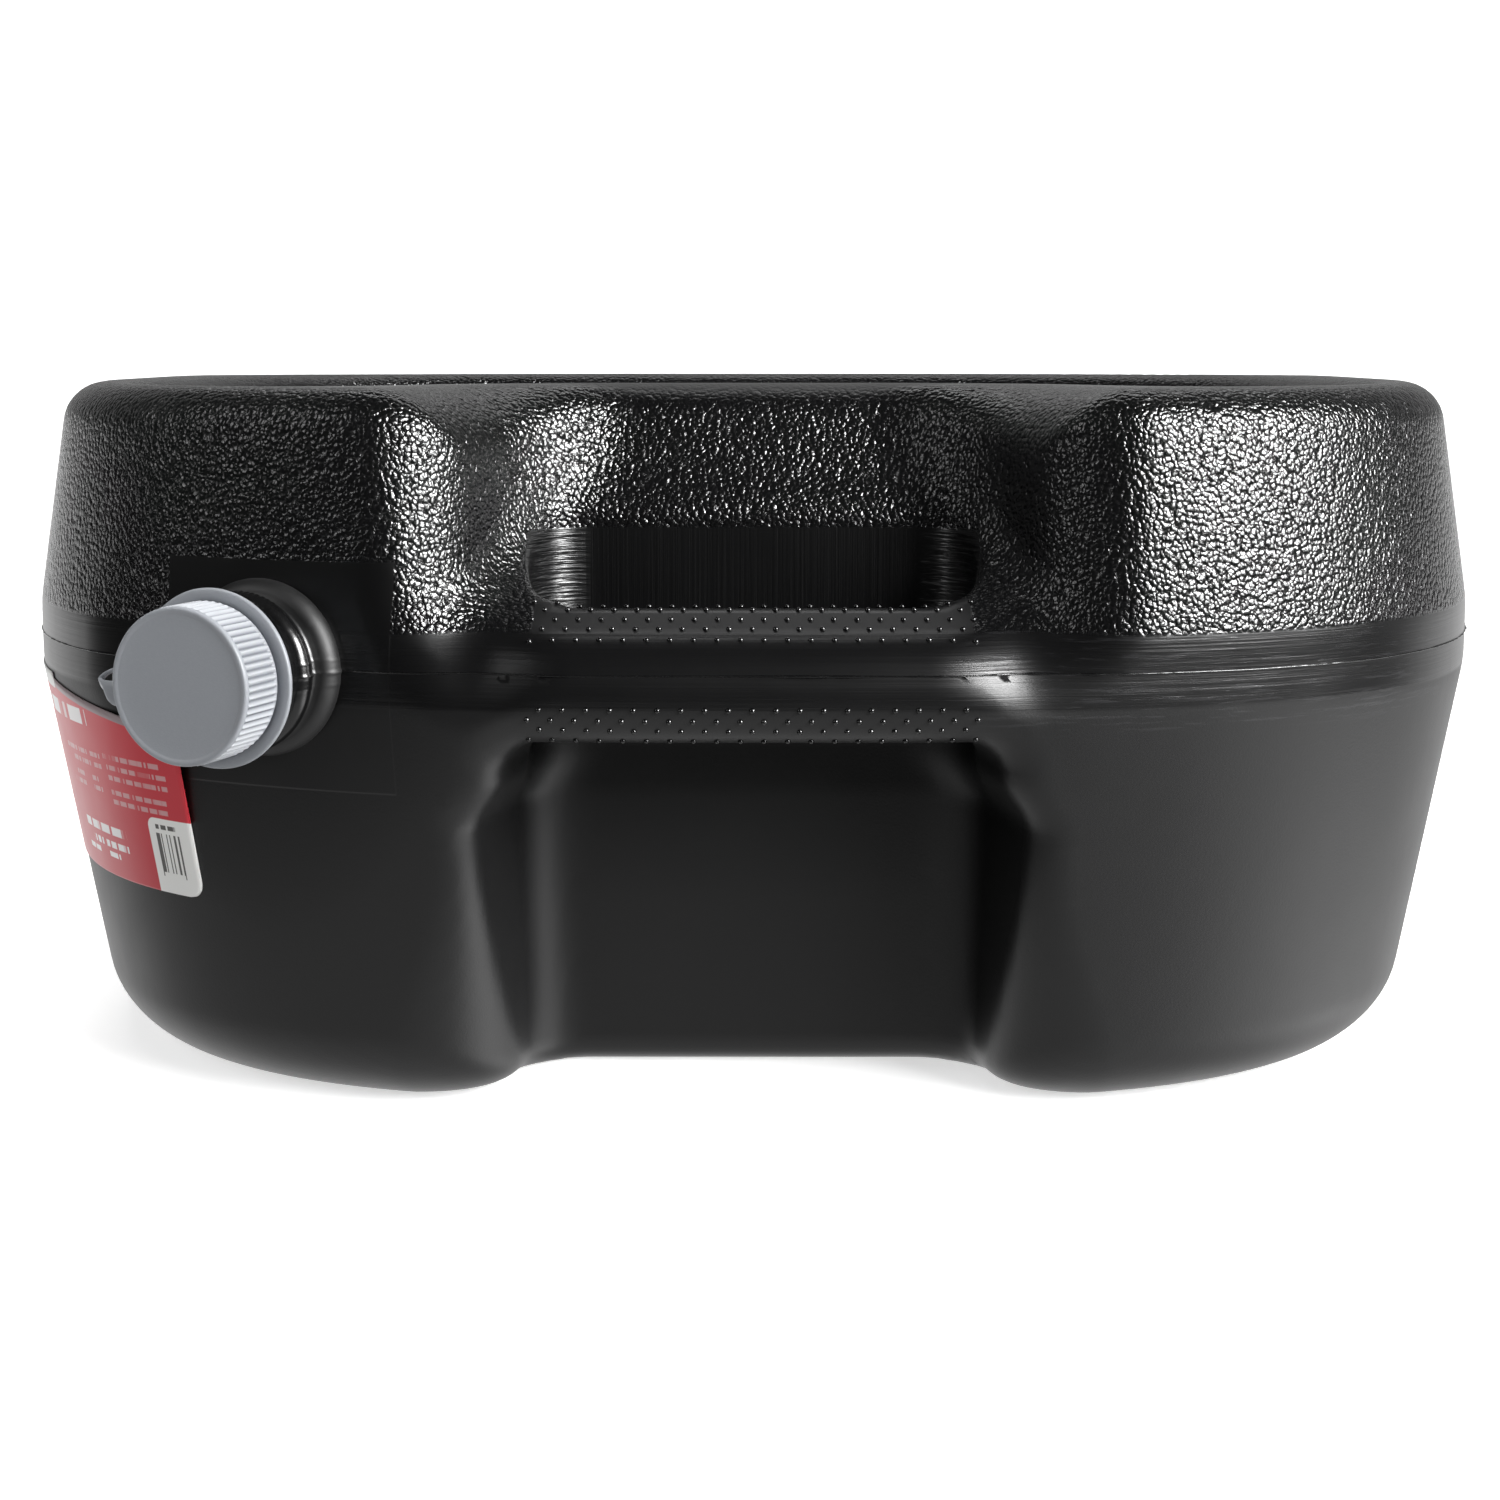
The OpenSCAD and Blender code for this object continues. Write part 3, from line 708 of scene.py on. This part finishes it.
cap_face, cap_inside, skirt_radius = 36.7, 35.0, 19.75
cap_profile = np.concatenate([
    [[cap_face, 4.0], [cap_face, 10.0], [cap_face, 14.0], [cap_face, 17.8], [36.76, 18.15],
     [36.95, 18.45]],
    arc(36.25, 19.0, 0.75, 10, 90, 6),
    [[along, skirt_radius] for along in (35.9, 35.7, 35.55, 35.4, 35.2, 34.6, 29.0, 25.0, 24.5)],
    [[24.1, 19.7], [23.6, 19.6], [23.25, 19.3], [23.2, 18.6], [21.0, 18.6], [20.8, 18.4],
     [20.8, 17.7], [21.1, 17.5], [28.0, 17.5], [34.6, 17.5], [cap_inside, 17.1],
     [cap_inside, 10.0], [cap_inside, 4.0]]])
t, r, angle = turned(cap_profile, full_turn(cap_ribs * 8))
rib_share = smooth(t, 35.7, 35.35) * smooth(t, 23.6, 24.3) * (r > 19)
valley = 0.5 - 0.5 * np.cos(angle * cap_ribs)
r = r + rib_share * (0.2 - 1.05 * valley**0.7)
points = spun(t, r, angle).reshape(-1, 3)
ends = at_spout(np.zeros(2), np.zeros(2), np.array([cap_face, cap_inside]))
cap_grey = Finish("cap_grey", (0.30, 0.315, 0.34), Specular_IOR_Level=0.5)
speck = cap_grey.noise(cap_grey.place, 1.2, 3.0, 0.6)
cap_across, cap_along = along_plan(cap_grey, spout_side), along_plan(cap_grey, spout_dir)
cap_up = cap_grey.axes(cap_grey.place)[2] - seam
on_skirt = (cap_across * cap_across + cap_up * cap_up).above(18.75**2, 6)
on_skirt = on_skirt * cap_along.within(24.0, 35.5, 0.5)
# Painted shade: the grooves between the skirt's ribs are painted a darker grey, standing in for the
# shade in the rib valleys.
groove_shade_mask = 0.5 - (cap_up.math("ARCTAN2", cap_across) * cap_ribs).math("COSINE") * 0.5
plain_grey = cap_grey.mix(speck, (0.285, 0.30, 0.325, 1), (0.315, 0.33, 0.355, 1))
# Painted highlight: the ribbed skirt is painted a lighter grey than the face of the same moulding,
# standing in for the light on its ribs.
skirt_painted_highlight_grey = cap_grey.mix(on_skirt, plain_grey, (0.45, 0.465, 0.49, 1))
groove_painted_shade = (0.14, 0.15, 0.17, 1)
# The darker grey in the rib grooves is painted shade.
cap_grey.feed("Base Color", cap_grey.mix(groove_shade_mask * groove_shade_mask * on_skirt, skirt_painted_highlight_grey, groove_painted_shade))
cap_grey.feed("Roughness", speck * 0.15 + 0.38)
cap_grey.relief(cap_grey.noise(cap_grey.place, 2.5, 2.0) * 0.035)
cap = closed_piece("spout_cap_body", np.concatenate([points, ends]), disc_faces(*t.shape),
                   cap_grey)
# The cap's thread stands inwards and keeps its depth to both ends.
inward_form = np.array([(-0.7, 0.2), (-0.3, -0.62), (0.3, -0.62), (0.7, 0.2)])
t, r, angle = helix(17.5, 22.2, 33.0, thread_pitch, inward_form * (1, 0), 0.01)
r = r + inward_form[:, 1]
cap_thread = closed_piece("spout_cap_thread", spun(t, r, angle).reshape(-1, 3),
                          capped(*t.shape), cap_grey)
for piece in (cap, cap_thread):
    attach(piece, "cap")
    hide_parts("spout_cap")

liner_foam = Finish("liner_foam", (0.78, 0.76, 0.70), Roughness=0.9)
cells = liner_foam.noise(liner_foam.place, 3.0, 2.0)
liner_foam.feed("Base Color", liner_foam.mix(cells, (0.72, 0.70, 0.64, 1), (0.84, 0.82, 0.76, 1)))
liner_foam.relief(cells * 0.08)
bpy.data.objects["cap_liner"].data.materials[0] = liner_foam.material

# ------------------------------------------------------------------ Tether
# A flat ring that the cap turns in, a smaller ring snapped over the neck,
# and a folded strap between them, all moulded together in grey polypropylene.
strap_top, strap_low, strap_thick = 22.4, 17.6, 1.1
strap_steps = 55


def ring_piece(name, inner, outer, low, high, edge):
    """A flat ring with rounded edges, from its radii and its two heights along the axis."""
    mid = (low + high) / 2
    profile = [(low, inner), (low, outer - edge), (low + edge * 0.3, outer - edge * 0.3),
               (mid, outer), (high - edge * 0.3, outer - edge * 0.3), (high, outer - edge),
               (high, inner)]
    t, r, angle = turned(profile, full_turn(180))
    return closed_piece(name, spun(t, r, angle).reshape(-1, 3),
                        grid_faces(*t.shape, True, True).tolist(), cap_grey)


swivel = ring_piece("tether_swivel_disc", 18.7, 22.9, 21.6, 23.0, 0.55)
neck_ring = ring_piece("tether_neck_clip", 16.4, 19.4, 17.0, 18.5, 0.5)
upper_edge = np.array([
    (-21.8, -1.5, 22.4), (-30.0, -2.4, 22.4), (-34.0, -2.5, 22.3), (-35.9, -2.5, 21.6),
    (-36.8, -2.2, 20.8), (-36.2, -1.3, 20.4), (-34.4, -0.2, 20.2), (-31.5, 1.0, 20.0),
    (-25.0, 3.5, 18.8), (-18.4, 5.5, 18.2)])
lower_edge = np.array([
    (-20.5, -9.5, 22.4), (-29.6, -9.0, 22.4), (-32.6, -7.9, 22.3), (-34.4, -5.6, 21.4),
    (-37.0, -4.4, 19.6), (-38.0, -2.6, 17.8), (-36.8, -1.0, 17.0), (-34.0, 0.2, 16.8),
    (-26.5, 1.5, 16.9), (-18.9, 1.0, 17.6)])


def eased(knots, count):
    """A smooth path through knots: between each two, the Catmull-Rom cubic of the four around."""
    ends = np.concatenate([[2 * knots[0] - knots[1]], knots, [2 * knots[-1] - knots[-2]]])
    at = np.linspace(0, len(knots) - 1, count)
    first = np.minimum(at.astype(int), len(knots) - 2)
    share = (at - first)[:, None]
    a, b, c, d = (ends[first + i] for i in range(4))
    return b + share * ((c - a) / 2 + share * (a - 2.5 * b + 2 * c - d / 2
                                               + share * (1.5 * (b - c) + (d - a) / 2)))


edges = np.stack([eased(upper_edge, strap_steps), eased(lower_edge, strap_steps)], 1)
over = np.array([0, 0.04, 0.3, 0.7, 0.96, 1.0])
tuck = np.array([0.3, 0.05, 0, 0, 0.05, 0.3])
band = edges[:, :1] + (edges[:, 1:] - edges[:, :1]) * over[None, :, None]
normal = np.cross(np.gradient(band, axis=0), np.gradient(band, axis=1))
normal /= np.linalg.norm(normal, axis=-1, keepdims=True)
loop = np.concatenate([band - normal * tuck[None, :, None],
                       (band - normal * (strap_thick - tuck)[None, :, None])[:, ::-1]], 1)
points = at_spout(loop[..., 0], loop[..., 1], loop[..., 2])
strap = closed_piece("tether_strap_band", points.reshape(-1, 3), capped(*loop.shape[:2]), cap_grey)
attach(swivel, "tether")
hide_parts("tether_swivel_ring")
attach(neck_ring, "tank")
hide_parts("tether_neck_ring")
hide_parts("tether_strap")
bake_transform(strap)

# -------------------------------------------------------------- Side label
# A thin printed film stuck on the left wall: red, with a pale strip above, a
# white box at its lower front corner, and plain bars in place of words.
label_start, label_end, label_step = 234.0, 150.0, 210.5
label_low, label_thick, label_off = 57.0, 0.3, 0.08
label_corner, label_back_top, print_scale = 5.0, 113.3, 60.0
red_front, red_highest, red_degrees, pale_strip = 101.3, 110.0, 3.0, 2.4


def wall_line(t, z, off):
    """A point on the lower wall at outline angle t in degrees and height z, moved outwards."""
    x, y = outline_point(np.radians(t), wall_inset(z) - off)
    return np.stack(np.broadcast_arrays(x, y, z), -1)


def red_top(t):
    """The height of the red field's upper edge, which rises towards the back."""
    return np.minimum(red_front + (label_start - t) / red_degrees, red_highest)


t = np.concatenate([np.linspace(label_start, label_step, 40),
                    np.linspace(label_step - 0.02, label_end, 60)])
top = np.where(t < label_step, label_back_top, red_top(t) + pale_strip)
rows = np.concatenate([np.linspace(0, 0.1, 12)[:-1], np.linspace(0.1, 1, 24)])
z = label_low + rows[:, None] * (top[None] - label_low)
lift = np.clip(label_corner - (z - label_low), 0, label_corner)
tuck = label_corner - np.sqrt(np.maximum(label_corner**2 - lift**2, 0))
dense = np.linspace(label_start, label_end, 2000)
steps = np.linalg.norm(np.diff(wall_line(dense, 80.0, 0), axis=0), axis=1)
length = np.concatenate([[0], np.cumsum(steps)])
arc_length = np.interp(-t, -dense, length)
label_length = length[-1]
moved = arc_length[None] + tuck * (1 - arc_length[None] / label_length) ** 4
t_moved = np.interp(moved, length, dense)
outer = wall_line(t_moved, z, label_off + label_thick)
inner = wall_line(t_moved, z, label_off)
count = z.size
faces, _ = two_sided(grid_faces(*z.shape), count)
points = np.concatenate([outer.reshape(-1, 3), inner.reshape(-1, 3)])
label_film = Finish("label_film", (0.55, 0.03, 0.045), Specular_IOR_Level=0.5)
label = closed_piece("side_label_film", points, faces, label_film)
corner_point = np.empty(len(label.data.loops), int)
label.data.loops.foreach_get("vertex_index", corner_point)
share = np.stack([moved.ravel() / label_length, (z.ravel() - label_low) / print_scale], 1)
print_map = label.data.uv_layers.new(name="print")
print_map.data.foreach_set("uv", share[corner_point % count].ravel())

uv = label_film.node("ShaderNodeUVMap", {"uv_map": "print"})
u, v, _ = label_film.axes(uv)
u, v = u * float(label_length), v * print_scale + label_low
front_run = float(np.interp(-label_step, -dense, length))
red_edge = red_front + u * ((label_start - label_step) / red_degrees / front_run)


def chance_in(value, size, seed):
    """A random number from 0 to 1 for each step of a size along a value."""
    cell = (value * (1 / size)).math("FLOOR") + seed
    return label_film.node("ShaderNodeTexWhiteNoise", {"noise_dimensions": "1D"}, {"W": cell})


def line_of_words(start, end, low, size, seed):
    """A printed line shown as plain bars with gaps between, from start to end along the label."""
    letters = chance_in(u, size * 0.55, seed).above(0.22, 0.1)
    words = chance_in(u, size * 4.5, seed + 31).above(0.12, 0.1)
    return u.within(start, end, 0.2) * v.within(low, low + size, 0.2) * letters * words


paint = label_film.mix(v.above(70, 60), (0.50, 0.025, 0.04, 1), (0.56, 0.03, 0.045, 1))
small_print = line_of_words(8, 34, 92.6, 1.5, 3)
for place, seed in ((89.6, 5), (86.6, 7), (82.4, 11), (79.6, 13)):
    small_print = small_print.math("MAXIMUM", line_of_words(4 + seed * 0.3, 33, place, 1.4, seed))
    small_print = small_print.math("MAXIMUM", line_of_words(36, 62, place + 2.5, 1.4, seed + 50))
paint = label_film.mix(small_print * 0.75, paint, (0.62, 0.40, 0.41, 1))
heading = line_of_words(40, 105, 101.0, 4.6, 17)
for place, size, seed in ((69.5, 2.6, 19), (65.5, 2.0, 23), (62.6, 1.6, 29)):
    heading = heading.math("MAXIMUM", line_of_words(30, 60, place, size, seed))
paint = label_film.mix(heading, paint, (0.80, 0.78, 0.78, 1))
strip_share = (v - red_edge).above(0.0, 0.25)
paint = label_film.mix(strip_share, paint, (0.30, 0.24, 0.25, 1))
back_panel = u.above(front_run + 0.5, 0.2) * v.above(108.6, 0.3)
paint = label_film.mix(back_panel, paint, (0.66, 0.66, 0.64, 1))
box_right, box_top, box_round = 17.5, 78.5, 3.0
box_side = (u - box_right + box_round).math("MAXIMUM", 0.0)
box_rise = (v - box_top + box_round).math("MAXIMUM", 0.0)
box = 1 - (box_side * box_side + box_rise * box_rise).math("SQRT").above(box_round, 0.25)
paint = label_film.mix(box, paint, (0.83, 0.83, 0.81, 1))
bars_left, bars_right, bars_top = 5.2, 14.6, 74.2
bars = chance_in(u, 0.42, 41).above(0.5, 0.02) * u.within(bars_left, bars_right, 0.1)
bars = bars * v.within(63.0, bars_top, 0.15)
guard = u.within(bars_left, bars_left + 0.4, 0.1) + u.within(bars_right - 0.4, bars_right, 0.1)
guard = guard * v.within(61.8, bars_top, 0.15)
codes = line_of_words(6.0, 15.5, 75.4, 1.3, 43)
ink = bars.math("MAXIMUM", guard).math("MAXIMUM", codes)
paint = label_film.mix(ink, paint, (0.10, 0.095, 0.09, 1))
label_film.feed("Base Color", paint)
label_film.feed("Roughness", label_film.noise(label_film.place, 0.08, 3.0) * 0.1 + 0.26)
label_film.relief(label_film.noise(label_film.place, 0.05, 2.0) * 0.15)
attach(label, "tank")
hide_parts("side_label")

# ------------------------------------------- Drain port, strainer and seal
# The port is a turned-in collar of the tank, the strainer a grey basket that
# drops into it, and the seal a black rubber ring under the plug's head.
port_black = Finish("port_black", (0.006, 0.006, 0.0065), Specular_IOR_Level=0.5)
port_black.feed("Roughness", port_black.noise(port_black.place, 0.4, 3.0) * 0.2 + 0.25)
port_black.relief(port_black.noise(port_black.place, 1.5, 3.0) * 0.06)
bpy.data.objects["drain_port"].data.materials[0] = port_black.material
strainer_grey = Finish("strainer_grey", (0.24, 0.25, 0.27), Specular_IOR_Level=0.5)
grime = strainer_grey.noise(strainer_grey.place, 0.3, 4.0, 0.6)
strainer_grey.feed("Base Color", strainer_grey.mix(grime, (0.21, 0.22, 0.24, 1),
                                                   (0.29, 0.30, 0.32, 1)))
strainer_grey.feed("Roughness", grime * 0.2 + 0.4)
strainer_grey.relief(strainer_grey.noise(strainer_grey.place, 2.0, 2.0) * 0.04)
bpy.data.objects["strainer"].data.materials[0] = strainer_grey.material
seal_rubber = Finish("seal_rubber", (0.012, 0.012, 0.012), Specular_IOR_Level=0.4)
bloom = seal_rubber.noise(seal_rubber.place, 0.6, 4.0, 0.6)
seal_rubber.feed("Base Color", seal_rubber.mix(bloom, (0.010, 0.010, 0.010, 1),
                                               (0.022, 0.022, 0.021, 1)))
seal_rubber.feed("Roughness", bloom * 0.2 + 0.5)
bpy.data.objects["plug_o_ring"].data.materials[0] = seal_rubber.material

# -------------------------------------------------------------- Drain plug
# A grey screw plug in the floor of the basin, injection moulded hollow: a
# scalloped head, a finger bar across it, and a threaded stem in the port.
head_dish, head_inside, stem_radius, scallops = 155.6, 153.2, 20.4, 24
plug_profile = np.array([
    [head_dish, 5.0], [head_dish, 14.0], [head_dish, 21.0], [155.8, 22.0], [156.7, 22.8],
    [156.9, 23.4], [156.9, 25.6], [156.7, 26.8], [156.0, 27.7], [155.0, 28.0], [153.0, 28.0],
    [151.6, 28.0], [151.1, 27.7], [150.9, 27.2], [150.9, 24.8], [152.4, 24.7], [152.4, 21.3],
    [151.0, 20.9], [150.0, stem_radius], [143.0, stem_radius], [136.2, stem_radius],
    [135.5, 19.8], [135.5, 18.6], [136.0, 18.4], [150.0, 18.4], [153.0, 18.0],
    [head_inside, 10.0], [head_inside, 5.0]])
t, r, angle = turned(plug_profile, full_turn(scallops * 12))
bite = smooth(np.cos(angle * scallops), 0.0, 0.9) * smooth(r, 26.2, 27.6)
r = r - bite * 1.1
points = np.stack([r * np.cos(angle), r * np.sin(angle), t], -1).reshape(-1, 3)
ends = np.array([[0, 0, head_dish], [0, 0, head_inside]])
plug_head = closed_piece("drain_plug_head", np.concatenate([points, ends]), disc_faces(*t.shape),
                         cap_grey)
bar_turn, bar_half_l, bar_half_w = full_turn(96), 22.8, 4.5
rise = np.array([154.9, 156.2, 157.0, 158.5, 163.0, 167.0, 168.8, 169.6, 169.9])
swell = np.array([1.6, 0.75, 0.25, 0.0, -0.15, -0.3, -0.6, -1.3, -2.4])
along = np.abs(np.cos(bar_turn)) ** 0.35 * np.sign(np.cos(bar_turn))
across = np.abs(np.sin(bar_turn)) ** 0.7 * np.sign(np.sin(bar_turn))
waist = 1 - 0.16 * (1 - np.abs(along)) * smooth(rise, 158, 164)[:, None]
bar_x = (bar_half_l + np.minimum(swell, 0.2)[:, None]) * along[None]
bar_y = (bar_half_w + swell[:, None]) * across[None] * waist
points = np.stack(np.broadcast_arrays(bar_x, bar_y, rise[:, None]), -1)
ends = np.array([[0, 0, rise[0]], [0, 0, rise[-1]]])
plug_bar = closed_piece("drain_plug_bar", np.concatenate([points.reshape(-1, 3), ends]),
                        disc_faces(len(rise), len(bar_turn)), cap_grey)
thread_form = [(-1.0, -0.2), (-0.4, 0.75), (0.4, 0.75), (1.0, -0.2)]
plug_pitch = 4.8
t, r, angle = helix(stem_radius, 137.5, port_z, plug_pitch, thread_form)
points = np.stack([r * np.cos(angle), r * np.sin(angle), t], -1)
plug_thread = closed_piece("drain_plug_thread", points.reshape(-1, 3), capped(*t.shape), cap_grey)
for piece in (plug_head, plug_bar, plug_thread):
    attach(piece, "plug")
    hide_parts("drain_plug")
